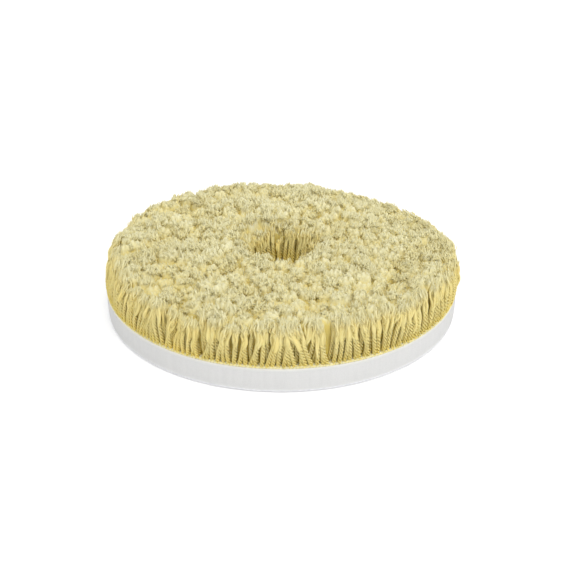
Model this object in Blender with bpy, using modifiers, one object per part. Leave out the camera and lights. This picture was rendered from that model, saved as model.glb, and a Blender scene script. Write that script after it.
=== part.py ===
"""Tufted wool polishing pad: circles of twisted yarn on a base cloth, foam cushion, loop cloth below.

The pad lies on its loop cloth, pile upwards. Origin: centre of the loop cloth's underside; +Z is the
pad's axis. The centre hole is cut through every layer. Metres throughout.
"""

import math

import bpy

# Outline of the pad
PAD_RADIUS = 0.0750
HOLE_RADIUS = 0.0110

# Bonded layers, from the loop cloth upwards
LOOP_CLOTH_THICKNESS = 0.0010
BOND_FILM_THICKNESS = 0.0003
FOAM_THICKNESS = 0.0071
LOCK_COAT_THICKNESS = 0.0004
BASE_CLOTH_THICKNESS = 0.0007
LAYER_GAP = 0.0003
FILM_INSET = 0.0008
FOAM_EDGE_RADIUS = 0.0006

# Pile: circles of tufts, numbered from the hole outwards
ROW_COUNT = 13
PILE_HEIGHT = 0.0186
PILE_ROOT_INSET = 0.0008
ROW_GAP = 0.0003
RIM_BULGE = 0.0020
HOLE_FLARE = 0.0018
SHOULDER_SHARE = 0.45
RIM_ROUND_WIDTH = 0.0080
RIM_ROUND_DROP = 0.0055
HOLE_ROUND_WIDTH = 0.0050
HOLE_ROUND_DROP = 0.0035

# Fineness of the turned meshes
TURN_STEPS = 48
EDGE_STEPS = 3
CROWN_STEPS = 2
ROUNDED_CROWN_STEPS = 6
WELD_DISTANCE = 0.00001

# Principled BSDF settings: base colour, roughness, metallic
FINISHES = {
    "twisted_wool": ((0.72, 0.60, 0.26), 0.95, 0.0),
    "base_cloth": ((0.66, 0.60, 0.42), 0.90, 0.0),
    "lock_coat": ((0.70, 0.67, 0.56), 0.60, 0.0),
    "bond_film": ((0.75, 0.75, 0.72), 0.45, 0.0),
    "white_foam": ((0.82, 0.82, 0.81), 0.92, 0.0),
    "loop_cloth": ((0.78, 0.78, 0.79), 0.95, 0.0),
}


def clear_scene():
    for obj in list(bpy.data.objects):
        bpy.data.objects.remove(obj, do_unlink=True)


def make_material(name):
    colour, roughness, metallic = FINISHES[name]
    material = bpy.data.materials.new(name)
    material.use_nodes = True
    shader = material.node_tree.nodes["Principled BSDF"]
    shader.inputs["Base Color"].default_value = (*colour, 1.0)
    shader.inputs["Roughness"].default_value = roughness
    shader.inputs["Metallic"].default_value = metallic
    material.diffuse_color = (*colour, 1.0)
    return material


def turned_ring(name, profile, material, collection):
    """A closed ring about Z: profile holds (radius, height) points, down the outer side and up the inner."""
    mesh = bpy.data.meshes.new(name)
    points = [(radius, 0.0, height) for radius, height in profile]
    edges = [(i, (i + 1) % len(points)) for i in range(len(points))]
    mesh.from_pydata(points, edges, [])
    mesh.materials.append(material)
    ring = bpy.data.objects.new(name, mesh)
    collection.objects.link(ring)
    turn = ring.modifiers.new("turn", "SCREW")
    turn.axis = "Z"
    turn.angle = math.tau
    turn.steps = TURN_STEPS
    turn.render_steps = TURN_STEPS
    turn.use_merge_vertices = True
    turn.merge_threshold = WELD_DISTANCE
    turn.use_smooth_shade = False
    return ring


def edge_arc(centre_radius, centre_height, radius, start, end):
    """Points of a rounded edge in the profile plane, from one angle to the other, in degrees."""
    points = []
    for i in range(EDGE_STEPS + 1):
        angle = math.radians(start + (end - start) * i / EDGE_STEPS)
        points.append(
            (
                centre_radius + radius * math.cos(angle),
                centre_height + radius * math.sin(angle),
            )
        )
    return points


def flat_ring_profile(inner, outer, low, high):
    return [(outer, high), (outer, low), (inner, low), (inner, high)]


def foam_profile(low, high):
    """Cushion section: a plain rectangle whose four edges are softened."""
    r = FOAM_EDGE_RADIUS
    outer, inner = PAD_RADIUS, HOLE_RADIUS
    return (
        edge_arc(outer - r, high - r, r, 90, 0)
        + edge_arc(outer - r, low + r, r, 0, -90)
        + edge_arc(inner + r, low + r, r, -90, -180)
        + edge_arc(inner + r, high - r, r, 180, 90)
    )


def layer_stack():
    """(name, finish, low height, high height) of each bonded layer, with LAYER_GAP between neighbours."""
    layers = (
        ("loop_cloth", "loop_cloth", LOOP_CLOTH_THICKNESS),
        ("loop_bond_film", "bond_film", BOND_FILM_THICKNESS),
        ("foam_cushion", "white_foam", FOAM_THICKNESS),
        ("pile_bond_film", "bond_film", BOND_FILM_THICKNESS),
        ("latex_lock_coat", "lock_coat", LOCK_COAT_THICKNESS),
        ("tufting_base_cloth", "base_cloth", BASE_CLOTH_THICKNESS),
    )
    stack = []
    height = 0.0
    for name, finish, thickness in layers:
        stack.append((name, finish, height, height + thickness))
        height += thickness + LAYER_GAP
    return stack, height


def root_radius(share):
    """Radius at the base cloth, for a share of the way from the hole's edge (0) to the rim (1)."""
    inner = HOLE_RADIUS + PILE_ROOT_INSET
    outer = PAD_RADIUS - PILE_ROOT_INSET
    return inner + (outer - inner) * share


def tip_radius(share):
    """Radius above the shoulder, where the pile spreads at the rim and opens at the hole."""
    inner = HOLE_RADIUS + HOLE_FLARE
    outer = PAD_RADIUS - PILE_ROOT_INSET + RIM_BULGE
    return inner + (outer - inner) * share


def rounding_drop(inside, width, drop):
    """How far an edge's rounding lowers the pile, inside being the distance in from that edge."""
    if inside >= width:
        return 0.0
    reach = 1.0 - max(inside, 0.0) / width
    return drop * (1.0 - math.sqrt(1.0 - reach * reach))


def crown_height(radius, base):
    """Height of the pile's working surface at a radius: flat, with both edges rounded off."""
    from_rim = tip_radius(1.0) - radius
    from_hole = radius - tip_radius(0.0)
    return (
        base
        + PILE_HEIGHT
        - rounding_drop(from_rim, RIM_ROUND_WIDTH, RIM_ROUND_DROP)
        - rounding_drop(from_hole, HOLE_ROUND_WIDTH, HOLE_ROUND_DROP)
    )


def tuft_row_profile(row, base):
    """Section of one circle of tufts: upright from the cloth, spread at the shoulder, cut at the crown."""
    root_gap = ROW_GAP / 2 / (root_radius(1.0) - root_radius(0.0))
    first = row / ROW_COUNT + (root_gap if row > 0 else 0.0)
    last = (row + 1) / ROW_COUNT - (root_gap if row < ROW_COUNT - 1 else 0.0)
    shoulder = base + SHOULDER_SHARE * PILE_HEIGHT
    crown_steps = ROUNDED_CROWN_STEPS if row in (0, ROW_COUNT - 1) else CROWN_STEPS
    profile = []
    for i in range(crown_steps + 1):
        radius = tip_radius(first + (last - first) * i / crown_steps)
        profile.append((radius, crown_height(radius, base)))
    profile.append((tip_radius(last), shoulder))
    profile.append((root_radius(last), base))
    profile.append((root_radius(first), base))
    profile.append((tip_radius(first), shoulder))
    return profile


def main():
    clear_scene()
    pad = bpy.data.collections.new("polishing_pad")
    bpy.context.scene.collection.children.link(pad)
    materials = {name: make_material(name) for name in FINISHES}

    stack, pile_base = layer_stack()
    for name, finish, low, high in stack:
        if name == "foam_cushion":
            profile = foam_profile(low, high)
        elif finish in ("bond_film", "lock_coat"):
            profile = flat_ring_profile(
                HOLE_RADIUS + FILM_INSET, PAD_RADIUS - FILM_INSET, low, high
            )
        else:
            profile = flat_ring_profile(HOLE_RADIUS, PAD_RADIUS, low, high)
        turned_ring(name, profile, materials[finish], pad)

    for row in range(ROW_COUNT):
        turned_ring(
            f"tuft_row_{row + 1:02d}",
            tuft_row_profile(row, pile_base),
            materials["twisted_wool"],
            pad,
        )


main()
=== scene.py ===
"""Looks of the tufted wool polishing pad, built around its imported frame.

Each operator makes one piece, or one group of like pieces: the twisted yarns and their brushed tips, the
tufting cloth, the latex coat, the bond films, the foam cushion, the loop cloth and the studio. Metres.
"""

import math

import bmesh
import bpy
import numpy as np
from bpy.props import (
    FloatProperty,
    FloatVectorProperty,
    IntProperty,
    PointerProperty,
)
from bpy.types import Operator, Panel, PropertyGroup
from mathutils import Matrix, Vector, kdtree, noise


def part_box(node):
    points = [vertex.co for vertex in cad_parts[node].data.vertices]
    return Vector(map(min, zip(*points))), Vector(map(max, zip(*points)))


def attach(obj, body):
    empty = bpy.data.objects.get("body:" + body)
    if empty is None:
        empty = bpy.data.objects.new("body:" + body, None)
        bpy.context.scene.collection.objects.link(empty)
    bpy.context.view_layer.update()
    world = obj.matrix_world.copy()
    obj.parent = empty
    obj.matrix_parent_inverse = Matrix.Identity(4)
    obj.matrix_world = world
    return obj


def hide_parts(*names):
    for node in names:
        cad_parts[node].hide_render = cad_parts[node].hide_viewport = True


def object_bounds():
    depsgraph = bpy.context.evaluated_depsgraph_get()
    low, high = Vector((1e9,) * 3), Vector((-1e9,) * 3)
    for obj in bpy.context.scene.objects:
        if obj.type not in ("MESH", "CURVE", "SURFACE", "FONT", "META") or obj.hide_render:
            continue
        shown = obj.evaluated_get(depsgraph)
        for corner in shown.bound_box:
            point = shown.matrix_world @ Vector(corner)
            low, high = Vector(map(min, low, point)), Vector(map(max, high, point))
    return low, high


bl_info = {
    "name": "Wool polishing pad",
    "version": (1, 0, 0),
    "blender": (4, 5, 0),
    "location": "View3D > Sidebar > Pad",
    "description": "Builds the yarns, cloths, foam and studio of a tufted wool polishing pad",
    "category": "Object",
}

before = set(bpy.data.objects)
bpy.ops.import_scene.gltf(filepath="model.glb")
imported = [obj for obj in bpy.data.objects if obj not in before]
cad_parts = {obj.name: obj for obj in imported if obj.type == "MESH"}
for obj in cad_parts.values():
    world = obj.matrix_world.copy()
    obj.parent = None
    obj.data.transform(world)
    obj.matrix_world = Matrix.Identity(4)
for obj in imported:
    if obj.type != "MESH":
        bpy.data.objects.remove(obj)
CAD_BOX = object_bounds()

TUFT_ROWS = sorted(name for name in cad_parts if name.startswith("tuft_row_"))
LAYERS = (
    "loop_cloth",
    "loop_bond_film",
    "foam_cushion",
    "pile_bond_film",
    "latex_lock_coat",
    "tufting_base_cloth",
)
PAD_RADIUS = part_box("foam_cushion")[1].x
GOLDEN_SHARE = (math.sqrt(5.0) - 1.0) / 2.0

# Twisted yarn: how high the rope goes, where its plies start to draw in, and a ply's size in yarn radii
ROPE_SHARE = 0.80
NARROWING_START = 0.35
PLY_RADIUS = 0.46
PLY_OFFSET = 0.57
STEPS_PER_TURN = 7

# Brushed surface: (size, shift) of its two kinds of lump, and where its edges fall away
BROAD_LUMP = (0.017, 1)
FINE_LUMP = (0.0085, 5)
MOUTH_WIDTH = 0.0065
DIP_START, DIP_WIDTH = 0.050, 0.025
DROP_START, DROP_WIDTH = 0.045, 0.030
SIDE_SHARPNESS, CORNER_SHARPNESS, BACK_SHARPNESS = 4, 6, 2
ROOT_SHIFT, TIP_SHIFT = 0.00010, 0.0005
LEAST_LIFT = 0.25
MOUTH_LIP = 0.0012
RIM_INSET = 0.0027
TIP_SINK, TIP_LEVELS, CLUMP_LEVELS = 0.0009, 0.00030, 0.00050
WIND_SIZE = 0.0060
EDGE_ROOT_SINK, ROOT_SINK = 0.0007, 0.0003
LEAN_POWER = 1.25
PUFF_RADIUS, PUFF_EDGE = 0.0024, 0.0011

# Packed wool: clear of the yarns that show at the hole and the rim, in cells of one tick
PACKED_INSET = 0.0034
PACKED_TICK = 0.00056
PACKED_WALL_ROWS, PACKED_BACK_ROWS = 8, 10
PACKED_TOP, PACKED_TOP_WIDTH = 0.93, 0.07
PACKED_TURN_STEPS = 700
PACKED_SINK, PACKED_SINK_WIDTH = 0.0022, 0.0070
PACKED_PUFF, PACKED_FLUFF, PACKED_RIDGE = 0.0018, 0.0006, 0.0009

# Rings of yarns that show at the hole and the rim: the gap between two rings, and where their tips stand
HOLE_RING_GAP = 0.0019
HOLE_TIP_SHIFTS = (-0.0008, 0.0016)
RIM_RING_GAP = 0.0018
RIM_TIP_INSETS = (0.0046, 0.0030)
RIM_BOW = 0.0010
RIM_OVERHANG = 0.0002
STRAY_SHARE = 0.16  # share of the rim's yarns that have a stray lock

# Cut foam, cloth stitches and loops: how far their surfaces swell, tear and stand out
FOAM_ROWS = 7
FOAM_BELLY, FOAM_TEAR = 0.00016, 0.00010
STITCH_SWELL, STITCH_PROUD = 0.00030, 0.00018
LOOP_SINK = 0.00008


# Frame ------------------------------------------------------------------------------------------------


def node_points(node):
    """The node's vertices as (radius, height) pairs."""
    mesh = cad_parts[node].data
    points = np.empty(len(mesh.vertices) * 3, np.float32)
    mesh.vertices.foreach_get("co", points)
    points = points.reshape(-1, 3)
    return np.stack([np.hypot(points[:, 0], points[:, 1]), points[:, 2]], axis=1)


HOLE_RADIUS = float(node_points("foam_cushion")[:, 0].min())


def layer_span(node):
    """Low and high of a layer, each taken to the middle of the gap to its neighbour."""
    order = LAYERS.index(node)
    low, high = (corner.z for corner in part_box(node))
    if order > 0:
        low = (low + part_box(LAYERS[order - 1])[1].z) / 2
    above = LAYERS[order + 1] if order + 1 < len(LAYERS) else TUFT_ROWS[0]
    high = (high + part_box(above)[0].z) / 2
    return low, high


def row_section(node):
    """Root radii, tip radii and base height of one circle of tufts."""
    points = node_points(node)
    base = points[:, 1].min()
    roots = points[points[:, 1] < base + 0.0005, 0]
    tips = points[points[:, 1] > base + 0.0005, 0]
    return roots.min(), roots.max(), tips.min(), tips.max(), float(base)


def crown_curve():
    """Radius and height of the pile's working surface, from the hole to the rim, out of the frame."""
    points = np.concatenate([node_points(node) for node in TUFT_ROWS])
    points = points[points[:, 1] > PILE_BASE + 0.6 * PILE_HEIGHT]
    points = points[np.argsort(points[:, 0])]
    return points[:, 0], points[:, 1]


PILE_BASE = float(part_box(TUFT_ROWS[0])[0].z)
PILE_HEIGHT = float(CAD_BOX[1].z) - PILE_BASE
CROWN_RADII, CROWN_HEIGHTS = crown_curve()


# Settings ---------------------------------------------------------------------------------------------


def length_setting(name, description, default):
    return FloatProperty(name=name, description=description, default=default, subtype="DISTANCE")


def angle_setting(name, description, default):
    return FloatProperty(name=name, description=description, default=default, subtype="ANGLE")


def colour_setting(name, description, default):
    return FloatVectorProperty(
        name=name, description=description, default=default, size=3, subtype="COLOR"
    )


class PadWoolSettings(PropertyGroup):
    yarn_pitch: length_setting("Yarn pitch", "Distance between neighbouring yarns along a row", 0.00295)
    edge_pitch: length_setting(
        "Edge pitch", "Distance between neighbouring yarns at the rim and round the hole", 0.00208
    )
    yarn_radius: length_setting("Yarn radius", "Half the width of a twisted yarn", 0.00094)
    lay: length_setting("Lay length", "Height in which a ply turns once round its yarn", 0.0046)
    plies: IntProperty(name="Plies", description="Plies in each yarn", default=3)
    curl: length_setting("Curl", "How far a strand bows sideways", 0.00042)
    lump_height: length_setting("Lump height", "How far the brushed surface rises and falls", 0.0028)
    gather: FloatProperty(
        name="Gather",
        description="How far neighbouring tips lean together, from 0 to 1",
        default=0.20,
    )
    clump: length_setting("Clump", "Distance between the clumps that neighbouring tips make", 0.0056)
    sway: length_setting("Sway", "How far the yarns of the rim and the hole lean sideways together", 0.0050)
    mouth: length_setting("Mouth", "How far the tips stand back from the edge of the hole", 0.0036)
    mouth_drop: length_setting("Mouth drop", "How far the pile falls away towards the hole", 0.0030)
    core_depth: length_setting(
        "Core depth", "How far the packed wool lies below the brushed surface", 0.0030
    )
    side_dip: length_setting("Side dip", "How far the rim's tips are pushed in on the left side", 0.0042)
    corner_dip: length_setting(
        "Corner dip", "How far the rim's tips are pushed in at the back on the right", 0.0074
    )
    corner_heading: angle_setting(
        "Corner heading", "Direction of the corner dip, anticlockwise from +X", math.radians(33.0)
    )
    back_drop: length_setting("Back drop", "How far the pile lies down along the back", 0.0036)
    crevice: length_setting("Crevice", "Depth of the crevices between clumps", 0.0022)
    scatter: FloatProperty(
        name="Scatter",
        description="How far the brushed ends take light as one soft surface",
        default=0.4,
    )
    glow: FloatProperty(
        name="Glow",
        description="Share of the light that passes through a strand, from 0 to 1",
        default=0.30,
    )
    seed: IntProperty(name="Seed", description="Starts the random draws", default=11)
    # The root colour is painted shade: a darker, more saturated ochre for the shade deep in the pile between
    # the yarns.
    root_shade_colour: colour_setting("Root colour", "Wool deep in the pile", (0.97, 0.76, 0.20))
    yarn_colour: colour_setting("Yarn colour", "Twisted lower part of the yarn", (0.98, 0.82, 0.34))
    lock_colour: colour_setting("Lock colour", "Wool just below the brushed ends", (0.99, 0.82, 0.35))
    tip_colour: colour_setting("Tip colour", "Brushed ends of the wool", (0.99, 0.92, 0.56))


class PadBackingSettings(PropertyGroup):
    foam_colour: colour_setting("Foam colour", "Cut face of the foam", (0.715, 0.715, 0.71))
    film_colour: colour_setting("Film colour", "Films that bond the layers", (0.72, 0.72, 0.71))
    latex_colour: colour_setting(
        "Latex colour", "Coat that locks the yarns in the cloth", (0.81, 0.80, 0.76)
    )
    cloth_colour: colour_setting(
        "Tufting cloth colour", "Woven cloth that holds the yarns", (0.90, 0.82, 0.48)
    )
    loop_colour: colour_setting("Loop cloth colour", "Knitted loops and their ground", (0.73, 0.735, 0.76))
    turn_steps: IntProperty(
        name="Turn steps", description="Facets round each bonded layer", default=360
    )
    thread_pitch: length_setting(
        "Thread pitch", "Distance between neighbouring threads of the woven cloth", 0.00080
    )
    stitch_pitch: length_setting(
        "Stitch pitch", "Distance between the stitches along the cloth's edges", 0.00125
    )
    loop_spacing: length_setting(
        "Loop spacing", "Distance between neighbouring loops of the loop cloth", 0.0022
    )
    loop_height: length_setting("Loop height", "How far a loop stands out of its ground", 0.00055)


class PadStageSettings(PropertyGroup):
    camera_distance: length_setting(
        "Camera distance", "Distance from the camera to the point that it looks at", 0.450
    )
    camera_elevation: angle_setting(
        "Camera elevation", "Height of the camera above the horizon", math.radians(27.69)
    )
    camera_lens: FloatProperty(
        name="Lens", description="Focal length in millimetres", default=65.02
    )
    look_at: FloatVectorProperty(
        name="Look at",
        description="Point that the camera looks at",
        default=(0.0015, 0.0, 0.0064),
        size=3,
        subtype="TRANSLATION",
    )
    sky_strength: FloatProperty(
        name="Sky strength", description="Strength of the even light all round", default=0.84
    )
    key_strength: FloatProperty(
        name="Key strength", description="Strength of the soft light from above", default=0.98
    )
    fill_strength: FloatProperty(
        name="Fill strength", description="Strength of the low light from the front", default=0.50
    )


# Shared mesh and material helpers ---------------------------------------------------------------------


def placed(name, data):
    """An object for the data, linked to the scene."""
    thing = bpy.data.objects.new(name, data)
    bpy.context.scene.collection.objects.link(thing)
    return thing


def new_piece(name, mesh, slot, material, *nodes):
    """An object for the finished mesh, riding on the pad's body and standing for the nodes."""
    piece = placed(name, mesh)
    mesh.materials.append(material)
    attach(piece, "root")
    if nodes:
        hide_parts(*nodes)
    return piece


def mesh_of(bm, name, smooth=True):
    mesh = bpy.data.meshes.new(name)
    bm.to_mesh(mesh)
    bm.free()
    if smooth:
        mesh.shade_smooth()
    return mesh


def coordinates(mesh):
    points = np.empty(len(mesh.vertices) * 3, np.float32)
    mesh.vertices.foreach_get("co", points)
    return points.reshape(-1, 3).astype(float)


def set_coordinates(mesh, points):
    mesh.vertices.foreach_set("co", points.astype(np.float32).ravel())
    mesh.update()


def set_attribute(mesh, name, values):
    layer = mesh.attributes.get(name) or mesh.attributes.new(name, "FLOAT", "POINT")
    layer.data.foreach_set("value", values.astype(np.float32))


def get_attribute(mesh, name):
    values = np.empty(len(mesh.vertices), np.float32)
    mesh.attributes[name].data.foreach_get("value", values)
    return values


def turned(across, over, turn):
    """Places in the plan, turned about the axis."""
    cos, sin = np.cos(turn), np.sin(turn)
    return across * cos - over * sin, across * sin + over * cos


def grain(points, size, upright=1.0):
    """Smooth noise at each point, in bumps of one size, drawn out upwards where upright is below 1."""
    return np.array([noise.noise(Vector((x, y, upright * z)) / size) for x, y, z in points])


def push_out(points, push):
    """Moves each point away from the axis by its own distance."""
    reach = np.hypot(points[:, 0], points[:, 1])
    points[:, :2] *= ((reach + push) / reach)[:, None]


def smooth_step(values):
    values = np.clip(values, 0.0, 1.0)
    return values * values * (3.0 - 2.0 * values)


class Nodes:
    """Adds and joins shader nodes in one tree."""

    def __init__(self, tree):
        self.tree = tree

    def add(self, kind, **settings):
        node = self.tree.nodes.new(kind)
        for name, value in settings.items():
            setattr(node, name, value)
        return node

    def join(self, source, target):
        self.tree.links.new(source, target)

    def feed(self, socket, value):
        """Joins another node's output to the socket, or gives the socket its own number or colour."""
        if isinstance(value, bpy.types.NodeSocket):
            self.join(value, socket)
        elif socket.type == "RGBA":
            socket.default_value = (*value[:3], 1.0)
        else:
            socket.default_value = value

    def math(self, operation, *values):
        node = self.add("ShaderNodeMath", operation=operation)
        for socket, value in zip(node.inputs, values):
            self.feed(socket, value)
        return node.outputs[0]

    def mix(self, factor, first, second, blend="MIX"):
        node = self.add("ShaderNodeMix", data_type="RGBA", blend_type=blend)
        for index, value in ((0, factor), (6, first), (7, second)):
            self.feed(node.inputs[index], value)
        return node.outputs[2]

    def attribute(self, name):
        return self.add("ShaderNodeAttribute", attribute_name=name).outputs["Fac"]

    def place(self, upright=1.0):
        """Object coordinates, drawn out along the axis where upright is below 1."""
        stretch = self.add("ShaderNodeMapping")
        stretch.inputs["Scale"].default_value = (1.0, 1.0, upright)
        self.join(self.add("ShaderNodeTexCoord").outputs["Object"], stretch.inputs["Vector"])
        return stretch.outputs["Vector"]

    def noise(self, place, scale, detail, roughness=0.5):
        node = self.add("ShaderNodeTexNoise")
        self.join(place, node.inputs["Vector"])
        self.feed(node.inputs["Scale"], scale)
        node.inputs["Detail"].default_value = detail
        node.inputs["Roughness"].default_value = roughness
        return node.outputs["Fac"]

    def bump(self, height, strength, depth):
        """The normal of a surface that rises and falls with the height."""
        node = self.add("ShaderNodeBump")
        node.inputs["Strength"].default_value = strength
        self.feed(node.inputs["Distance"], depth)
        self.join(height, node.inputs["Height"])
        return node.outputs["Normal"]


def new_material(name, colour, roughness, sheen=0.0):
    """A material, its node helper and its Principled BSDF."""
    material = bpy.data.materials.new(name)
    material.use_nodes = True
    material.diffuse_color = (*colour, 1.0)
    shader = material.node_tree.nodes["Principled BSDF"]
    shader.inputs["Roughness"].default_value = roughness
    shader.inputs["Sheen Weight"].default_value = sheen
    shader.inputs["Sheen Roughness"].default_value = 0.5
    shader.inputs["Specular IOR Level"].default_value = 0.25
    return material, Nodes(material.node_tree), shader


def relief_group(name, mask):
    """An empty node group: a scale and a depth go in, and a mask and a bumped normal come out."""
    group = bpy.data.node_groups.new(name, "ShaderNodeTree")
    group.interface.new_socket("Scale", in_out="INPUT", socket_type="NodeSocketFloat")
    group.interface.new_socket("Depth", in_out="INPUT", socket_type="NodeSocketFloat")
    group.interface.new_socket(mask, in_out="OUTPUT", socket_type="NodeSocketFloat")
    group.interface.new_socket("Normal", in_out="OUTPUT", socket_type="NodeSocketVector")
    nodes = Nodes(group)
    return group, nodes, nodes.add("NodeGroupInput").outputs, nodes.add("NodeGroupOutput").inputs


def fibre_group():
    """Node group: streaks that run up the pile, as a mask and as a bumped normal."""
    known = bpy.data.node_groups.get("wool_fibre")
    if known:
        return known
    group, nodes, given, result = relief_group("wool_fibre", "Streak")
    streaks = nodes.noise(nodes.place(0.16), given["Scale"], 3.0, 0.6)
    nodes.join(streaks, result["Streak"])
    nodes.join(nodes.bump(streaks, 0.24, given["Depth"]), result["Normal"])
    return group


def wool_material():
    """Wool: ochre at the root as painted shade deep in the pile, golden on the yarn, cream where it is
    brushed out; darker and more golden where the shade attribute is low, which is painted shade in crevices
    and grooves and random tone elsewhere.
    """
    known = bpy.data.materials.get("brushed_wool")
    if known:
        return known
    wool = bpy.context.scene.pad_wool
    material, nodes, shader = new_material("brushed_wool", wool.tip_colour, 0.92, sheen=0.04)
    ramp = nodes.add("ShaderNodeValToRGB")
    stops = (
        # Painted shade: the ochre at the root stands for the shade deep in the pile.
        (0.0, wool.root_shade_colour),
        (0.30, wool.yarn_colour),
        (0.50, wool.yarn_colour),
        (0.80, wool.lock_colour),
        (0.98, wool.tip_colour),
    )
    ramp.color_ramp.elements[1].position = 0.98
    for position, _ in stops[1:4]:
        ramp.color_ramp.elements.new(position)
    for element, (_, colour) in zip(ramp.color_ramp.elements, stops):
        element.color = (*colour, 1.0)
    nodes.join(nodes.attribute("rise"), ramp.inputs["Fac"])
    fibre = nodes.add("ShaderNodeGroup", node_tree=fibre_group())
    fibre.inputs["Scale"].default_value = 2600.0
    fibre.inputs["Depth"].default_value = 0.00025
    # Painted shade: where the shade attribute is low, the colour turns to this darker, more golden copy of
    # itself, in crevices, ply grooves and low places, and on randomly darker strands and stitches.
    golden_shade = nodes.mix(0.60, ramp.outputs["Color"], wool.yarn_colour, "MULTIPLY")
    lit = nodes.mix(nodes.attribute("shade"), golden_shade, ramp.outputs["Color"])
    streaked = nodes.mix(fibre.outputs["Streak"], lit, (1.0, 0.97, 0.86), "SOFT_LIGHT")
    nodes.join(streaked, shader.inputs["Base Color"])
    lift = nodes.math("MULTIPLY_ADD", nodes.attribute("loose"), wool.scatter, LEAST_LIFT)
    upward = nodes.add("ShaderNodeCombineXYZ")
    nodes.join(lift, upward.inputs["Z"])
    added = nodes.add("ShaderNodeVectorMath", operation="ADD")
    nodes.join(fibre.outputs["Normal"], added.inputs[0])
    nodes.join(upward.outputs["Vector"], added.inputs[1])
    unit = nodes.add("ShaderNodeVectorMath", operation="NORMALIZE")
    nodes.join(added.outputs["Vector"], unit.inputs[0])
    nodes.join(unit.outputs["Vector"], shader.inputs["Normal"])
    through = nodes.add("ShaderNodeBsdfTranslucent")
    nodes.join(streaked, through.inputs["Color"])
    blend = nodes.add("ShaderNodeMixShader")
    blend.inputs["Fac"].default_value = wool.glow
    nodes.join(shader.outputs["BSDF"], blend.inputs[1])
    nodes.join(through.outputs["BSDF"], blend.inputs[2])
    nodes.join(blend.outputs["Shader"], material.node_tree.nodes["Material Output"].inputs["Surface"])
    return material


def grain_material(name, colour, roughness, cell, depth, contrast, upright=1.0):
    """A pale layer with a fine grain: cell is its size, upright below 1 draws it out along the axis."""
    material, nodes, shader = new_material(name, colour, roughness)
    streak = nodes.noise(nodes.place(upright), 0.22 / cell, 4.0)
    cells = nodes.add("ShaderNodeTexVoronoi")
    cells.inputs["Scale"].default_value = 1.0 / cell
    nodes.join(nodes.place(), cells.inputs["Vector"])
    soft = tuple(channel * (1.0 - contrast) for channel in colour)
    mask = nodes.math("MULTIPLY", cells.outputs["Distance"], 0.55)
    mask = nodes.math("ADD", mask, nodes.math("MULTIPLY", streak, 0.8))
    nodes.join(nodes.mix(mask, colour, soft), shader.inputs["Base Color"])
    rough = nodes.math("MULTIPLY_ADD", streak, 0.12, roughness - 0.06)
    nodes.join(rough, shader.inputs["Roughness"])
    nodes.join(nodes.bump(mask, 0.5, depth), shader.inputs["Normal"])
    return material


def weave_group():
    """Node group: threads that cross over and under, as a mask and as a bumped normal."""
    known = bpy.data.node_groups.get("thread_weave")
    if known:
        return known
    group, nodes, given, result = relief_group("thread_weave", "Thread")
    split = nodes.add("ShaderNodeSeparateXYZ")
    nodes.join(nodes.place(), split.inputs["Vector"])
    waves = []
    for axis in ("X", "Y"):
        phase = nodes.math("MULTIPLY", split.outputs[axis], given["Scale"])
        waves.append(nodes.math("SINE", nodes.math("MULTIPLY", phase, math.pi)))
    crossing = nodes.math("MULTIPLY", waves[0], waves[1])
    thread = nodes.math("MULTIPLY_ADD", crossing, 0.5, 0.5)
    nodes.join(thread, result["Thread"])
    nodes.join(nodes.bump(thread, 0.8, given["Depth"]), result["Normal"])
    return group


def thread_material(name, colour, pitch, depth, contrast):
    """Cloth: crossing threads with painted shade where one dips under the next, and uneven fibre in them."""
    material, nodes, shader = new_material(name, colour, 0.88, sheen=0.12)
    weave = nodes.add("ShaderNodeGroup", node_tree=weave_group())
    weave.inputs["Scale"].default_value = 1.0 / pitch
    weave.inputs["Depth"].default_value = depth
    uneven = nodes.noise(nodes.place(), 0.35 / pitch, 4.0)
    # Painted shade: the colour where a thread dips under the next one.
    dip_shade = tuple(channel * (1.0 - contrast) for channel in colour)
    threads = nodes.mix(weave.outputs["Thread"], dip_shade, colour)
    faded = nodes.mix(uneven, threads, (1.0, 1.0, 1.0), "SOFT_LIGHT")
    nodes.join(faded, shader.inputs["Base Color"])
    nodes.join(weave.outputs["Normal"], shader.inputs["Normal"])
    return material


# Yarn and tip prototypes ------------------------------------------------------------------------------
# A prototype stands on the origin: x and y are metres across the yarn, z runs from 0 at its root to 1.


def copies(mesh, count, name):
    """One mesh that holds the given mesh count times, each copy's vertices in one run."""
    bm = bmesh.new()
    for _ in range(count):
        bm.from_mesh(mesh)
    return mesh_of(bm, name)


def unit_strand(sides, rings):
    """A closed straight strand of radius 1 from height 0 to 1, with rings to bend at."""
    bm = bmesh.new()
    made = bmesh.ops.create_cone(
        bm, cap_ends=True, segments=sides, radius1=1.0, radius2=1.0, depth=1.0
    )
    bmesh.ops.translate(bm, vec=(0.0, 0.0, 0.5), verts=made["verts"])
    upright = [edge for edge in bm.edges if abs(edge.verts[0].co.z - edge.verts[1].co.z) > 0.5]
    bmesh.ops.subdivide_edges(bm, edges=upright, cuts=rings - 1)
    return mesh_of(bm, "strand")


def swept(bm, name, **sweep):
    """The outline in bm, swept about the origin into a tube with closed ends."""
    bmesh.ops.spin(bm, geom=bm.edges[:], cent=(0, 0, 0), **sweep)
    rims = [edge for edge in bm.edges if edge.is_boundary]
    bmesh.ops.holes_fill(bm, edges=rims, sides=0)
    bmesh.ops.recalc_face_normals(bm, faces=bm.faces)
    return mesh_of(bm, name)


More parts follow.
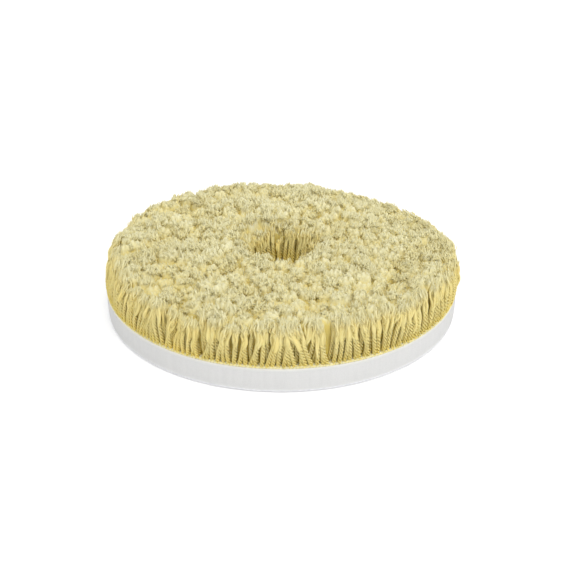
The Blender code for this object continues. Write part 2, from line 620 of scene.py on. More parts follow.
def bent_strands(rng, kind, curl_size):
    """Strands that fan out from a tuft's middle: thickest low down, tapering to a curled end."""
    count = kind["count"]
    base = unit_strand(kind["sides"], kind["rings"])
    mesh = copies(base, count, "strands")
    bpy.data.meshes.remove(base)
    points = coordinates(mesh).reshape(count, -1, 3)
    turn = math.tau * (np.arange(count) * GOLDEN_SHARE + rng.normal(0, 0.05, count))
    reach = np.sqrt((np.arange(count) + 0.6) / count) * rng.uniform(0.85, 1.15, count)
    tip = kind["spread"] * np.stack([reach * np.cos(turn), reach * np.sin(turn)], axis=1)
    foot = tip * kind["foot"]
    curl = rng.normal(0, curl_size, (count, 2))
    low = kind["start"] + rng.uniform(0.0, 0.12, count)
    top = 1.0 - kind["dome"] * reach**2 + rng.normal(0, 0.030, count)
    girth = kind["girth"] * rng.uniform(0.75, 1.30, count)
    along = points[..., 2]
    width = girth[:, None] * (0.75 + 0.25 * np.sin(np.pi * along))
    width = width * (1.0 - 0.72 * along ** kind["late"])
    bend = np.sin(np.pi * along)[..., None]
    wave = np.sin(math.tau * along)[..., None] * 0.6
    wriggle = rng.normal(0, curl_size, (count, 2))
    swing = along[..., None] ** 1.3
    centre = foot[:, None] + (tip - foot)[:, None] * swing
    centre = centre + curl[:, None] * bend + wriggle[:, None] * wave
    flat = centre + points[..., :2] * width[..., None]
    height = low[:, None] + (top - low)[:, None] * along
    shaped = np.concatenate([flat, height[..., None]], axis=-1)
    set_coordinates(mesh, shaped.reshape(-1, 3))
    set_attribute(mesh, "shade", np.repeat(rng.uniform(0.75, 1.0, count), points.shape[1]))
    return mesh


# Kinds of strand. Girth and spread are metres, start, foot and dome are shares, and late keeps the strand
# thick nearly to its end.
SHORT_TIP = (
    dict(
        count=7, sides=4, rings=3, girth=0.00048, spread=0.00160,
        start=0.80, foot=0.60, dome=0.06, late=2.2,
    ),
    dict(
        count=15, sides=3, rings=2, girth=0.00028, spread=0.00240,
        start=0.82, foot=0.40, dome=0.08, late=1.5,
    ),
)
LONG_TIP = (
    dict(
        count=3, sides=5, rings=6, girth=0.00060, spread=0.00080,
        start=0.42, foot=0.60, dome=0.03, late=3.0,
    ),
    dict(
        count=5, sides=4, rings=3, girth=0.00050, spread=0.00150,
        start=0.64, foot=0.45, dome=0.10, late=2.2,
    ),
    dict(
        count=9, sides=3, rings=2, girth=0.00030, spread=0.00220,
        start=0.74, foot=0.45, dome=0.07, late=1.2,
    ),
)
STRAY_LOCK = (
    dict(
        count=2, sides=5, rings=8, girth=0.00052, spread=0.00040,
        start=0.16, foot=1.00, dome=0.02, late=1.5,
    ),
)


def tip_prototype(rng, wool, kinds, name):
    """The brushed end of a tuft: thick locks inside a cloud of fine fibres."""
    bm = bmesh.new()
    for kind in kinds:
        mesh = bent_strands(rng, kind, wool.curl)
        bm.from_mesh(mesh)
        bpy.data.meshes.remove(mesh)
    return mesh_of(bm, name)


def rope_prototype(rng, wool, name):
    """The twisted part of a yarn: its plies wind round each other and draw in near the top."""
    turns = ROPE_SHARE * PILE_HEIGHT / wool.lay
    steps = round(turns * STEPS_PER_TURN)
    bm = bmesh.new()
    ring = bmesh.ops.create_circle(bm, segments=5, radius=wool.yarn_radius * PLY_RADIUS)["verts"]
    bmesh.ops.scale(bm, vec=(1.0, 1.12, 1.0), verts=ring)
    bmesh.ops.translate(bm, vec=(wool.yarn_radius * PLY_OFFSET, 0.0, 0.0), verts=ring)
    step = (0, 0, ROPE_SHARE / steps)
    ply = swept(bm, "ply", axis=(0, 0, 1), dvec=step, angle=-turns * math.tau, steps=steps)
    mesh = copies(ply, wool.plies, name)
    bpy.data.meshes.remove(ply)
    points = coordinates(mesh).reshape(wool.plies, -1, 3)
    for index in range(wool.plies):
        turn = math.tau * index / wool.plies
        across, over = turned(points[index, :, 0], points[index, :, 1], turn)
        points[index, :, 0], points[index, :, 1] = across, over
    narrowed = smooth_step((points[..., 2] - NARROWING_START) / (ROPE_SHARE - NARROWING_START))
    points[..., :2] *= (1.0 - 0.35 * narrowed**2)[..., None]
    set_coordinates(mesh, points.reshape(-1, 3))
    # Painted shade: each ply goes darker and more golden towards the yarn's axis, in the grooves between
    # plies; each ply also has a random tone of its own.
    depth = np.hypot(points[..., 0], points[..., 1]) / wool.yarn_radius
    tone_and_shade = rng.uniform(0.80, 1.0, (wool.plies, 1)) * smooth_step(0.35 + 0.65 * depth)
    set_attribute(mesh, "shade", tone_and_shade.ravel())
    return mesh


# Where the tufts stand and lean -----------------------------------------------------------------------


def crown_at(radius):
    return np.interp(radius, CROWN_RADII, CROWN_HEIGHTS)


def lump(points, size, seed):
    """A smooth random height, from about -1 to 1, at each point of the plan."""
    shift = Vector((seed * 3.7, seed * 1.3, seed * 2.1))
    return np.array(
        [noise.noise(Vector((x / size, y / size, 0.0)) + shift) for x, y in points]
    )


def gather_points(rng, spacing):
    """Centres that neighbouring tips lean towards, none nearer to another than spacing."""
    centres = np.empty((0, 2))
    for _ in range(6000):
        radius = math.sqrt(rng.uniform(HOLE_RADIUS**2, PAD_RADIUS**2))
        turn = rng.uniform(0.0, math.tau)
        spot = np.array([[radius * math.cos(turn), radius * math.sin(turn)]])
        if (np.hypot(*(centres - spot).T) > spacing).all():
            centres = np.concatenate([centres, spot])
    return centres


def leg_ring(radius, pitch, stagger, rng):
    """Unit directions of the yarns spaced round one circle."""
    count = round(math.tau * radius / pitch)
    turn = (np.arange(count) + stagger + rng.normal(0, 0.09, count)) / count * math.tau
    return np.stack([np.cos(turn), np.sin(turn)], axis=1)


def row_rings(order, wool):
    """Root radius, tip radius, bulge and pitch of the rings of yarns in one circle of tufts."""
    root_in, root_out, tip_in, tip_out, _ = row_section(TUFT_ROWS[order])
    middle = (tip_in + tip_out) / 2
    inner = [root_in + wool.yarn_radius, (tip_in + middle) / 2, 0.0, wool.yarn_pitch]
    outer = [root_out - wool.yarn_radius, (middle + tip_out) / 2, 0.0, wool.yarn_pitch]
    if order == 0:
        near, far = (tip_in + wool.mouth + shift for shift in HOLE_TIP_SHIFTS)
        inner = [inner[0], near, 0.0, wool.edge_pitch]
        outer = [inner[0] + HOLE_RING_GAP, far, 0.0, wool.edge_pitch]
    if order == len(TUFT_ROWS) - 1:
        rim = PAD_RADIUS - wool.yarn_radius + RIM_OVERHANG
        near, far = (tip_out - inset for inset in RIM_TIP_INSETS)
        inner = [rim - RIM_RING_GAP, near, RIM_BOW, wool.edge_pitch]
        outer = [rim, far, RIM_BOW, wool.edge_pitch]
    return inner, outer


def toward(plan, heading, sharpness):
    """1 at points that lie in the heading from the centre, falling to 0 away from it."""
    along = plan[:, 0] * math.cos(heading) + plan[:, 1] * math.sin(heading)
    return np.clip(along / np.hypot(plan[:, 0], plan[:, 1]), 0.0, 1.0) ** sharpness


def push_in(plan, wool):
    """Points moved in where the rim's tips are pushed in: on the left, and at the back on the right."""
    reach = np.hypot(plan[:, 0], plan[:, 1])
    depth = wool.side_dip * toward(plan, math.pi, SIDE_SHARPNESS)
    depth = depth + wool.corner_dip * toward(plan, wool.corner_heading, CORNER_SHARPNESS)
    return plan * (1.0 - depth * smooth_step((reach - DIP_START) / DIP_WIDTH) / reach)[:, None]


def mouth_radius(wool):
    return CROWN_RADII.min() + wool.mouth - MOUTH_LIP


def surface_height(plan, wool):
    """Height of the brushed surface over each point of the plan: crown, mouth of the hole and lumps."""
    reach = np.hypot(plan[:, 0], plan[:, 1])
    height = crown_at(reach)
    height -= wool.mouth_drop * smooth_step((mouth_radius(wool) + MOUTH_WIDTH - reach) / MOUTH_WIDTH)
    drop = wool.back_drop * toward(plan, math.pi / 2, BACK_SHARPNESS)
    drop = drop + 0.4 * wool.corner_dip * toward(plan, wool.corner_heading, CORNER_SHARPNESS)
    height -= drop * smooth_step((reach - DROP_START) / DROP_WIDTH)
    lumps = 1.2 * lump(plan, *BROAD_LUMP) + 0.8 * lump(plan, *FINE_LUMP)
    return height + wool.lump_height * np.where(lumps > 0.0, 0.7 * lumps, lumps)


def clump_relief(plan, centres, spacing):
    """1 over the middle of a clump, falling to 0 in the winding crevice between two clumps."""
    wind = np.column_stack([lump(plan, WIND_SIZE, 31), lump(plan, WIND_SIZE, 47)])
    bent = plan + 0.30 * spacing * wind
    near = np.full(len(plan), 1.0)
    after = np.full(len(plan), 1.0)
    for centre in centres:
        away = np.hypot(bent[:, 0] - centre[0], bent[:, 1] - centre[1])
        after = np.minimum(after, np.maximum(away, near))
        near = np.minimum(near, away)
    return smooth_step((after - near) / (0.55 * spacing))


def row_legs(order, wool, rng, centres):
    """Roots, tips and bows of the yarns of one circle: an inner and an outer leg to each tuft."""
    base = row_section(TUFT_ROWS[order])[-1]
    edge_row = order in (0, len(TUFT_ROWS) - 1)
    root, tip, bow = [], [], []
    for side, (root_radius, tip_radius, bulge, pitch) in enumerate(row_rings(order, wool)):
        out = leg_ring(root_radius, pitch, 0.5 * side, rng)
        count = len(out)
        along = np.stack([-out[:, 1], out[:, 0]], axis=1)
        root.append(out * (root_radius + rng.normal(0, ROOT_SHIFT, count))[:, None])
        tips = out * (tip_radius + rng.normal(0, TIP_SHIFT, count))[:, None]
        sideways = rng.normal(0, TIP_SHIFT, count)
        if edge_row:
            lean = lump(tips, 0.0120, 9) * (1.7 * side - 0.5) + 0.28 * rng.standard_t(4, count)
            lean = lean * (0.4 if order == 0 else 1.0)
            tips = tips + along * (wool.sway * np.clip(lean, -1.6, 1.6))[:, None]
            sideways = sideways + rng.normal(0, TIP_SHIFT, count)
        tip.append(tips)
        bow.append(out * bulge + along * sideways[:, None])
    root, tip, bow = (np.concatenate(part) for part in (root, tip, bow))
    away = centres[None, :, :] - tip[:, None, :]
    nearest = np.hypot(away[..., 0], away[..., 1]).argmin(axis=1)
    pull = away[np.arange(len(tip)), nearest]
    tip = tip + wool.gather * pull + rng.normal(0, TIP_SHIFT, tip.shape)
    tip = push_in(tip, wool)
    reach = np.hypot(tip[:, 0], tip[:, 1])
    tip *= (np.clip(reach, mouth_radius(wool), CROWN_RADII.max() - RIM_INSET) / reach)[:, None]
    relief = clump_relief(tip, centres, wool.clump)
    height = surface_height(tip, wool) - TIP_SINK - wool.crevice * (1.0 - relief)
    height += np.random.default_rng(3).normal(0, CLUMP_LEVELS, len(centres))[nearest]
    height += rng.normal(0, TIP_LEVELS, len(tip))
    # Painted shade: tips in the crevices between clumps and in the low places of the lumps get a lower tone,
    # which the wool material paints darker and more golden; a random tone is added on top.
    tone_and_shade = 0.35 + 0.55 * relief + 0.7 * lump(tip, *BROAD_LUMP) + 0.5 * lump(tip, *FINE_LUMP)
    tone_and_shade = tone_and_shade + rng.uniform(-0.15, 0.15, len(tip))
    foot = base - (EDGE_ROOT_SINK if edge_row else ROOT_SINK)
    return {
        "root": np.column_stack([root, np.full(len(root), foot)]),
        "tip": np.column_stack([tip, height]),
        "bow": bow,
        "tone_and_shade": np.clip(tone_and_shade, 0.0, 1.0),
        "turn": rng.uniform(0.0, math.tau, len(root)),
        "outer": np.arange(len(root)) >= len(root) - count,
    }


def all_legs(wool):
    """The yarns of every circle of tufts, from the hole outwards, and the middles of their clumps."""
    rng = np.random.default_rng(wool.seed)
    centres = gather_points(rng, wool.clump)
    return [row_legs(order, wool, rng, centres) for order in range(len(TUFT_ROWS))], centres


def chosen(legs, mask):
    return {key: values[mask] for key, values in legs.items()}


def planted(name, prototypes, legs):
    """One mesh of prototypes, each stood on its root and bent along its own centreline."""
    count = len(legs["root"])
    bm = bmesh.new()
    for index in range(count):
        bm.from_mesh(prototypes[index % len(prototypes)])
    mesh = mesh_of(bm, name)
    local = coordinates(mesh).reshape(count, -1, 3)
    per_leg = local.shape[1]
    across, over = turned(local[..., 0], local[..., 1], legs["turn"][:, None])
    along = local[..., 2]
    root, tip, bow = (legs[key] for key in ("root", "tip", "bow"))
    lean = (tip - root)[:, None, :2]
    swing = np.clip(along, 0.0, None)[..., None] ** LEAN_POWER
    centre = root[:, None, :2] + lean * swing
    centre = centre + bow[:, None, :] * np.sin(np.pi * np.clip(along, 0, 1))[..., None]
    rise = (tip[:, 2] - root[:, 2])[:, None]
    height = root[:, None, 2] + rise * along
    steepness = LEAN_POWER * np.clip(along, 0.05, None)[..., None] ** (LEAN_POWER - 1.0)
    slope = lean * steepness / rise[..., None]
    height = height - (across * slope[..., 0] + over * slope[..., 1])
    points = np.stack([centre[..., 0] + across, centre[..., 1] + over, height], axis=-1)
    set_coordinates(mesh, points.reshape(-1, 3))
    set_attribute(mesh, "rise", along.ravel())
    set_attribute(mesh, "loose", np.clip(along, 0.0, 1.0).ravel() ** 3)
    strand = get_attribute(mesh, "shade").reshape(count, per_leg)
    # Each strand's random tone is multiplied by its leg's tone, which holds painted shade in crevices and
    # low places.
    set_attribute(mesh, "shade", (strand * (0.45 + 0.55 * legs["tone_and_shade"][:, None])).ravel())
    return mesh


# Operators --------------------------------------------------------------------------------------------


class PAD_OT_wool(Operator):
    """Plant every circle's brushed tips, and the twisted yarns of the two circles that show from the side"""

    bl_idname = "pad.wool"
    bl_label = "Wool pile"

    def execute(self, context):
        wool = context.scene.pad_wool
        rng = np.random.default_rng(wool.seed + 1)
        tips = [tip_prototype(rng, wool, SHORT_TIP, f"tip_{i}") for i in range(8)]
        long_tips = [tip_prototype(rng, wool, LONG_TIP, f"long_tip_{i}") for i in range(6)]
        ropes = [rope_prototype(rng, wool, f"rope_{i}") for i in range(3)]
        material = wool_material()
        edge_rows = (0, len(TUFT_ROWS) - 1)
        for order, legs in enumerate(all_legs(wool)[0]):
            node = TUFT_ROWS[order]
            if order not in edge_rows:
                mesh = planted(f"{node}_tips", tips, legs)
                new_piece(f"{node}_tips", mesh, "twisted_wool", material, node)
                continue
            for side, mask in (("inner", ~legs["outer"]), ("outer", legs["outer"])):
                for part, prototypes in (("tips", long_tips), ("yarns", ropes)):
                    name = f"{node}_{side}_{part}"
                    mesh = planted(name, prototypes, chosen(legs, mask))
                    # Painted shade: the hole's yarns take their rise to a higher power, so more of each yarn
                    # gets the ramp's deeper golden and ochre, for the shade inside the hole.
                    depth = 1.8 if order == 0 else 1.0
                    rise = np.clip(get_attribute(mesh, "rise"), 0.0, 1.0)
                    set_attribute(mesh, "rise", rise**depth)
                    new_piece(name, mesh, "twisted_wool", material, node)
        stray = chosen(legs, legs["outer"] & (rng.uniform(size=len(legs["tone_and_shade"])) < STRAY_SHARE))
        stray["root"][:, :2] *= 1.003
        wisps = [tip_prototype(rng, wool, STRAY_LOCK, f"wisp_{i}") for i in range(4)]
        mesh = planted("rim_stray_locks", wisps, stray)
        set_attribute(mesh, "rise", 0.45 + 0.55 * get_attribute(mesh, "rise"))
        new_piece("rim_stray_locks", mesh, "twisted_wool", material, node)
        for mesh in tips + long_tips + ropes + wisps:
            bpy.data.meshes.remove(mesh)
        return {"FINISHED"}


def turned_mesh(name, profile, steps):
    """A closed ring: the outline of (radius, height) points spun once about Z."""
    bm = bmesh.new()
    verts = [bm.verts.new((radius, 0.0, height)) for radius, height in profile]
    edges = [bm.edges.new((verts[i - 1], verts[i])) for i in range(len(verts))]
    bmesh.ops.spin(
        bm,
        geom=verts + edges,
        cent=(0, 0, 0),
        axis=(0, 0, 1),
        angle=math.tau,
        steps=steps,
        use_merge=True,
    )
    bmesh.ops.recalc_face_normals(bm, faces=bm.faces)
    return mesh_of(bm, name, smooth=False)


def puffs(plan, spots):
    """Height from 0, in a crevice, to 1, over a tip, of the rounded puffs that the tips make together."""
    tree = kdtree.KDTree(len(spots))
    for index, spot in enumerate(spots):
        tree.insert((spot[0], spot[1], 0.0), index)
    tree.balance()
    found = np.array([[hit[2] for hit in tree.find_n((x, y, 0.0), 2)] for x, y in plan])
    near, next_near = found[:, 0], found[:, 1]
    edge = np.clip((next_near - near) / PUFF_EDGE, 0.0, 1.0)
    round_top = 1.0 - np.clip(near / PUFF_RADIUS, 0.0, 1.0) ** 2
    return round_top * (0.35 + 0.65 * smooth_step(edge))


class PAD_OT_felt(Operator):
    """Fill the pile with packed wool whose top swells into a soft puff round every brushed tip"""

    bl_idname = "pad.felt"
    bl_label = "Packed wool"

    def execute(self, context):
        wool = context.scene.pad_wool
        inner = row_section(TUFT_ROWS[1])[0] + 0.0004
        outer = PAD_RADIUS - PACKED_INSET
        low, high = PILE_BASE - 0.0001, PILE_BASE + 0.8 * PILE_HEIGHT
        ticks = round((outer - inner) / PACKED_TICK)
        top = [(outer + (inner - outer) * i / ticks, high) for i in range(ticks + 1)]
        wall = [(inner, high + (low - high) * i / PACKED_WALL_ROWS) for i in range(1, PACKED_WALL_ROWS + 1)]
        back = [
            (outer, low + (high - low) * i / PACKED_BACK_ROWS) for i in range(PACKED_BACK_ROWS)
        ]
        mesh = turned_mesh("packed_wool", top + wall + back, PACKED_TURN_STEPS)
        points = coordinates(mesh)
        share = (points[:, 2] - low) / (high - low)
        bent = push_in(points[:, :2], wool)
        points[:, :2] += (bent - points[:, :2]) * share[:, None] ** LEAN_POWER
        legs, centres = all_legs(wool)
        puff = puffs(points[:, :2], np.concatenate([row["tip"] for row in legs]))
        relief = clump_relief(points[:, :2], centres, wool.clump)
        fluff = grain(points, 0.0011)
        top_share = smooth_step((share - PACKED_TOP) / PACKED_TOP_WIDTH)
        ceiling = surface_height(points[:, :2], wool) - wool.core_depth
        points[:, 2] = low + share * (ceiling - low)
        reach = np.hypot(points[:, 0], points[:, 1])
        sunk = PACKED_SINK * smooth_step((inner + PACKED_SINK_WIDTH - reach) / PACKED_SINK_WIDTH)
        raised = PACKED_PUFF * puff + PACKED_FLUFF * fluff - wool.crevice * (1.0 - relief) - sunk
        points[:, 2] += top_share * raised
        side = np.where(reach > (inner + outer) / 2, 1.0, -1.0)
        push_out(points, side * PACKED_RIDGE * grain(points, 0.0010, 0.2) * (1.0 - top_share))
        set_coordinates(mesh, points)
        mesh.shade_smooth()
        # Painted shade: the packed wool goes down the ramp towards the ochre root lower on its walls, and
        # darker and more golden in its crevices and low places, following the same puffs, relief, fluff and
        # lumps that shape its top.
        patch = 0.25 * lump(points[:, :2], *BROAD_LUMP) + 0.2 * lump(points[:, :2], *FINE_LUMP)
        body = 0.25 + 0.35 * puff + 0.40 * relief + 0.10 * fluff + patch
        set_attribute(mesh, "rise", 0.02 + 0.45 * share + top_share * (0.20 + 0.30 * body))
        shade = top_share * (1.1 * body - 0.2)
        set_attribute(mesh, "shade", np.clip(shade, 0.0, 1.0))
        new_piece("packed_wool", mesh, "twisted_wool", wool_material())
        return {"FINISHED"}


def softened(name, outer, inner, low, high, steps, rounding, wobble):
    """A flat ring whose outline edges are rounded and whose walls waver a little."""
    mesh = turned_mesh(name, [(outer, high), (outer, low), (inner, low), (inner, high)], steps)
    bm = bmesh.new()
    bm.from_mesh(mesh)
    sharp = []
    for edge in bm.edges:
        first, second = edge.verts
        if abs(first.co.z - second.co.z) < 1e-6 and abs(first.co.xy.length - second.co.xy.length) < 1e-5:
            sharp.append(edge)
    bmesh.ops.bevel(
        bm,
        geom=sharp,
        offset=rounding,
        offset_type="OFFSET",
        segments=3,
        profile=0.5,
        affect="EDGES",
        clamp_overlap=True,
        material=-1,
    )
    middle = (inner + outer) / 2
    for vert in bm.verts:
        radius = vert.co.xy.length
        side = 1.0 if radius > middle else -1.0
        push = wobble * noise.noise(Vector((vert.co.x, vert.co.y, vert.co.z * 0.4)) / 0.0045)
        vert.co.xy *= (radius + side * push) / radius
    bmesh.ops.recalc_face_normals(bm, faces=bm.faces)
    finished = mesh_of(bm, name)
    finished.set_sharp_from_angle(angle=math.radians(25.0))
    bpy.data.meshes.remove(mesh)
    return finished


def scattered_rows(spacing, inner, outer):
    """Points on a staggered grid, kept between two radii."""
    reach = math.ceil(outer / spacing)
    spots = []
    for row in range(-reach, reach + 1):
        for column in range(-reach, reach + 1):
            x = (column + 0.5 * (row % 2)) * spacing
            y = row * spacing * 0.9
            if inner < math.hypot(x, y) < outer:
                spots.append((x, y))
    return np.array(spots)


class PAD_OT_foam(Operator):
    """Make the foam cushion, with its cut face and softened edges"""

    bl_idname = "pad.foam"
    bl_label = "Foam cushion"

    def execute(self, context):
        backing = context.scene.pad_backing
        low, high = layer_span("foam_cushion")
        heights = [low + (high - low) * i / FOAM_ROWS for i in range(FOAM_ROWS + 1)]
        outer = [(PAD_RADIUS, height) for height in heights]
        inner = [(HOLE_RADIUS, height) for height in reversed(heights)]
        mesh = turned_mesh("foam_cushion_block", outer + inner, backing.turn_steps)
        points = coordinates(mesh)
        reach = np.hypot(points[:, 0], points[:, 1])
        side = np.where(reach > 0.5 * PAD_RADIUS, 1.0, -1.0)
        share = (points[:, 2] - low) / (high - low)
        torn = grain(points, 0.0016, 0.35)
        push_out(points, side * (FOAM_BELLY * np.sin(np.pi * share) + FOAM_TEAR * torn))
        set_coordinates(mesh, points)
        mesh.shade_smooth()
        mesh.set_sharp_from_angle(angle=math.radians(45.0))
        material = grain_material(
            "foam_cut", backing.foam_colour, 0.95, cell=0.00042, depth=0.00022, contrast=0.11, upright=0.10
        )
        piece = new_piece("foam_cushion_block", mesh, "white_foam", material, "foam_cushion")
        return {"FINISHED"}


class PAD_OT_bonds(Operator):
    """Lay the two bond films and the latex coat that locks the yarns"""

    bl_idname = "pad.bonds"
    bl_label = "Bond films and latex"

    def execute(self, context):
        backing = context.scene.pad_backing
        film = grain_material(
            "bond_film_sheet", backing.film_colour, 0.45, cell=0.0011, depth=0.00006, contrast=0.06
        )
        latex = grain_material(
            "latex_skin", backing.latex_colour, 0.60, cell=0.0019, depth=0.00012, contrast=0.10
        )
        for node, finish, slot, inset in (
            ("loop_bond_film", film, "bond_film", 0.00002),
            ("pile_bond_film", film, "bond_film", 0.00002),
            ("latex_lock_coat", latex, "lock_coat", 0.00003),
        ):
            low, high = layer_span(node)
            outer, inner = PAD_RADIUS - inset, HOLE_RADIUS + inset
            name = f"{node}_sheet"
            steps = backing.turn_steps
            mesh = softened(name, outer, inner, low, high, steps, rounding=0.00004, wobble=0.00004)
            new_piece(name, mesh, slot, finish, node)
        return {"FINISHED"}


class PAD_OT_tufting_cloth(Operator):
    """Make the woven cloth that holds the yarns, and the stitches round its two cut edges"""

    bl_idname = "pad.tufting_cloth"
    bl_label = "Tufting cloth"

    def execute(self, context):
        backing = context.scene.pad_backing
        low, high = layer_span("tufting_base_cloth")
        outer, inner = PAD_RADIUS - 0.0002, HOLE_RADIUS + 0.0002
        steps = backing.turn_steps
        name = "tufting_cloth_weave"
        mesh = softened(name, outer, inner, low, high, steps, rounding=0.0002, wobble=0.00012)
        material = thread_material(
            "tufting_weave", backing.cloth_colour, backing.thread_pitch, depth=0.00020, contrast=0.35
        )
        cloth = new_piece(name, mesh, "base_cloth", material, "tufting_base_cloth")
        rng = np.random.default_rng(5)
        bm = bmesh.new()
        bmesh.ops.create_uvsphere(bm, u_segments=8, v_segments=5, radius=1.0)
        bead = mesh_of(bm, "stitch")
        for edge, radius in (("rim", outer), ("hole", inner)):
            count = round(math.tau * radius / backing.stitch_pitch)
            stitches = copies(bead, count, f"cloth_{edge}_stitches")
            points = coordinates(stitches).reshape(count, -1, 3)
            swell = rng.uniform(0.85, 1.15, (count, 1))
            depth = points[..., 0] * STITCH_SWELL * swell
            across = points[..., 1] * backing.stitch_pitch * 0.56
            rise = points[..., 2] * (high - low) * 0.40 * swell
            tilted = across + 0.45 * rise
            turn = (np.arange(count)[:, None] + rng.normal(0, 0.06, (count, 1))) / count * math.tau
            turn = turn + tilted / radius
            reach = radius + (STITCH_PROUD if edge == "rim" else -STITCH_PROUD) + depth
            height = (low + high) / 2 + rise
            laid = np.stack([reach * np.cos(turn), reach * np.sin(turn), height], axis=-1)
            set_coordinates(stitches, laid.reshape(-1, 3))
            set_attribute(stitches, "rise", np.full(laid.size // 3, 0.97))
            tone_and_shade = np.repeat(rng.uniform(0.2, 1.0, count), points.shape[1])
            set_attribute(stitches, "shade", tone_and_shade)
            name = f"cloth_{edge}_stitches"
            piece = new_piece(name, stitches, "base_cloth", wool_material(), "tufting_base_cloth")
            piece.parent = cloth
        bpy.data.meshes.remove(bead)
        return {"FINISHED"}


class PAD_OT_loop_cloth(Operator):
    """Make the knitted ground of the loop cloth and the small loops that stand under it"""

    bl_idname = "pad.loop_cloth"
    bl_label = "Loop cloth"

    def execute(self, context):
        backing = context.scene.pad_backing
        low, high = layer_span("loop_cloth")
        ground = low + 0.75 * backing.loop_height
        outer, inner = PAD_RADIUS - 0.0001, HOLE_RADIUS + 0.0001
        steps = backing.turn_steps
        name = "loop_cloth_ground"
        mesh = softened(name, outer, inner, ground, high, steps, rounding=0.00015, wobble=0.00008)
        material = thread_material(
            "loop_knit", backing.loop_colour, backing.loop_spacing / 2, depth=0.00012, contrast=0.12
        )
        cloth = new_piece(name, mesh, "loop_cloth", material, "loop_cloth")
        rng = np.random.default_rng(8)
        bm = bmesh.new()
        ring = bmesh.ops.create_circle(bm, segments=3, radius=0.20)["verts"]
        bmesh.ops.rotate(bm, cent=(0, 0, 0), matrix=Matrix.Rotation(math.pi / 2, 3, "X"), verts=ring)
        bmesh.ops.translate(bm, vec=(0.8, 0.0, 0.0), verts=ring)
        arch = swept(bm, "arch", axis=(0, 1, 0), angle=math.pi, steps=5)
        spots = scattered_rows(backing.loop_spacing, inner + 0.0009, outer - 0.0009)
        count = len(spots)
        loops = copies(arch, count, "loop_cloth_loops")
        bpy.data.meshes.remove(arch)
        points = coordinates(loops).reshape(count, -1, 3)
        size = backing.loop_height * rng.uniform(0.85, 1.12, (count, 1))
        turn = rng.normal(0.6, 0.45, (count, 1))
        drop = np.abs(points[..., 2])
        lean = drop * rng.normal(0.3, 0.45, (count, 1))
        across, over = points[..., 0] * size, (points[..., 1] + lean) * size
        spots = spots + rng.normal(0, 0.00022, spots.shape)
        x, y = turned(across, over, turn)
        z = np.maximum(ground + LOOP_SINK - drop * size, low)
        laid = np.stack([spots[:, :1] + x, spots[:, 1:] + y, z], axis=-1)
        set_coordinates(loops, laid.reshape(-1, 3))
        piece = new_piece("loop_cloth_loops", loops, "loop_cloth", material, "loop_cloth")
        piece.parent = cloth
        return {"FINISHED"}


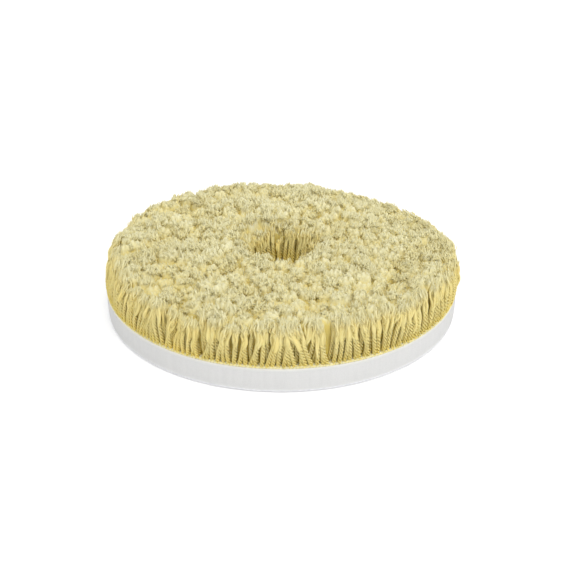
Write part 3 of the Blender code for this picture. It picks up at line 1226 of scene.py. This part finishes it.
class PAD_OT_studio(Operator):
    """Set the floor, the light and the camera"""

    bl_idname = "pad.studio"
    bl_label = "Studio"

    def execute(self, context):
        stage = context.scene.pad_stage
        floor_bm = bmesh.new()
        bmesh.ops.create_grid(floor_bm, x_segments=1, y_segments=1, size=3.0)
        floor = placed("floor", mesh_of(floor_bm, "floor", smooth=False))
        material, nodes, shader = new_material("studio_floor", (0.9, 0.9, 0.9), 0.9)
        shader.inputs["Base Color"].default_value = (0.90, 0.90, 0.90, 1.0)
        seen = nodes.add("ShaderNodeLightPath").outputs["Is Camera Ray"]
        shader.inputs["Emission Color"].default_value = (1.0, 1.0, 1.0, 1.0)
        nodes.join(nodes.math("MULTIPLY", seen, 0.16), shader.inputs["Emission Strength"])
        floor.data.materials.append(material)
        world = bpy.data.worlds.new("studio_sky")
        context.scene.world = world
        world.use_nodes = True
        nodes = Nodes(world.node_tree)
        sky = world.node_tree.nodes["Background"]
        sky.inputs["Color"].default_value = (1.0, 1.0, 1.0, 1.0)
        path = nodes.add("ShaderNodeLightPath")
        seen = nodes.math("MAXIMUM", path.outputs["Is Camera Ray"], path.outputs["Is Glossy Ray"])
        lift = nodes.math("MULTIPLY", seen, 1.0 - stage.sky_strength)
        nodes.join(nodes.math("ADD", lift, stage.sky_strength), sky.inputs["Strength"])
        for name, place, spread, power in (
            ("key_light", (0.22, -0.42, 1.0), 60.0, stage.key_strength),
            ("fill_light", (0.75, -1.0, 0.45), 80.0, stage.fill_strength),
        ):
            light = bpy.data.lights.new(name, "SUN")
            light.angle = math.radians(spread)
            light.energy = power
            lamp = placed(name, light)
            lamp.rotation_euler = Vector(place).to_track_quat("Z", "Y").to_euler()
        camera_data = bpy.data.cameras.new("camera")
        camera_data.lens = stage.camera_lens
        camera_data.sensor_width = 36.0
        camera = placed("camera", camera_data)
        tilt = stage.camera_elevation
        back = Vector((0.0, -math.cos(tilt), math.sin(tilt)))
        camera.location = Vector(stage.look_at) + back * stage.camera_distance
        camera.rotation_euler = (-back).to_track_quat("-Z", "Y").to_euler()
        context.scene.camera = camera
        context.scene.view_settings.view_transform = "Standard"
        return {"FINISHED"}


class PAD_PT_panel(Panel):
    """Lists the pad's pieces"""

    bl_label = "Polishing pad"
    bl_idname = "PAD_PT_panel"
    bl_space_type = "VIEW_3D"
    bl_region_type = "UI"
    bl_category = "Pad"

    def draw(self, context):
        for operator in OPERATORS:
            self.layout.operator(operator.bl_idname)


SETTINGS = (
    ("pad_wool", PadWoolSettings),
    ("pad_backing", PadBackingSettings),
    ("pad_stage", PadStageSettings),
)
OPERATORS = (
    PAD_OT_wool,
    PAD_OT_felt,
    PAD_OT_foam,
    PAD_OT_bonds,
    PAD_OT_tufting_cloth,
    PAD_OT_loop_cloth,
    PAD_OT_studio,
)


def register():
    for _, group in SETTINGS:
        bpy.utils.register_class(group)
    for cls in (*OPERATORS, PAD_PT_panel):
        bpy.utils.register_class(cls)
    for name, group in SETTINGS:
        setattr(bpy.types.Scene, name, PointerProperty(type=group))


def unregister():
    for name, _ in SETTINGS:
        delattr(bpy.types.Scene, name)
    for cls in (PAD_PT_panel, *reversed(OPERATORS)):
        bpy.utils.unregister_class(cls)
    for _, group in reversed(SETTINGS):
        bpy.utils.unregister_class(group)


def main():
    register()
    bpy.ops.pad.wool()
    bpy.ops.pad.felt()
    bpy.ops.pad.foam()
    bpy.ops.pad.bonds()
    bpy.ops.pad.tufting_cloth()
    bpy.ops.pad.loop_cloth()
    bpy.ops.pad.studio()


if __name__ == "__main__":
    main()
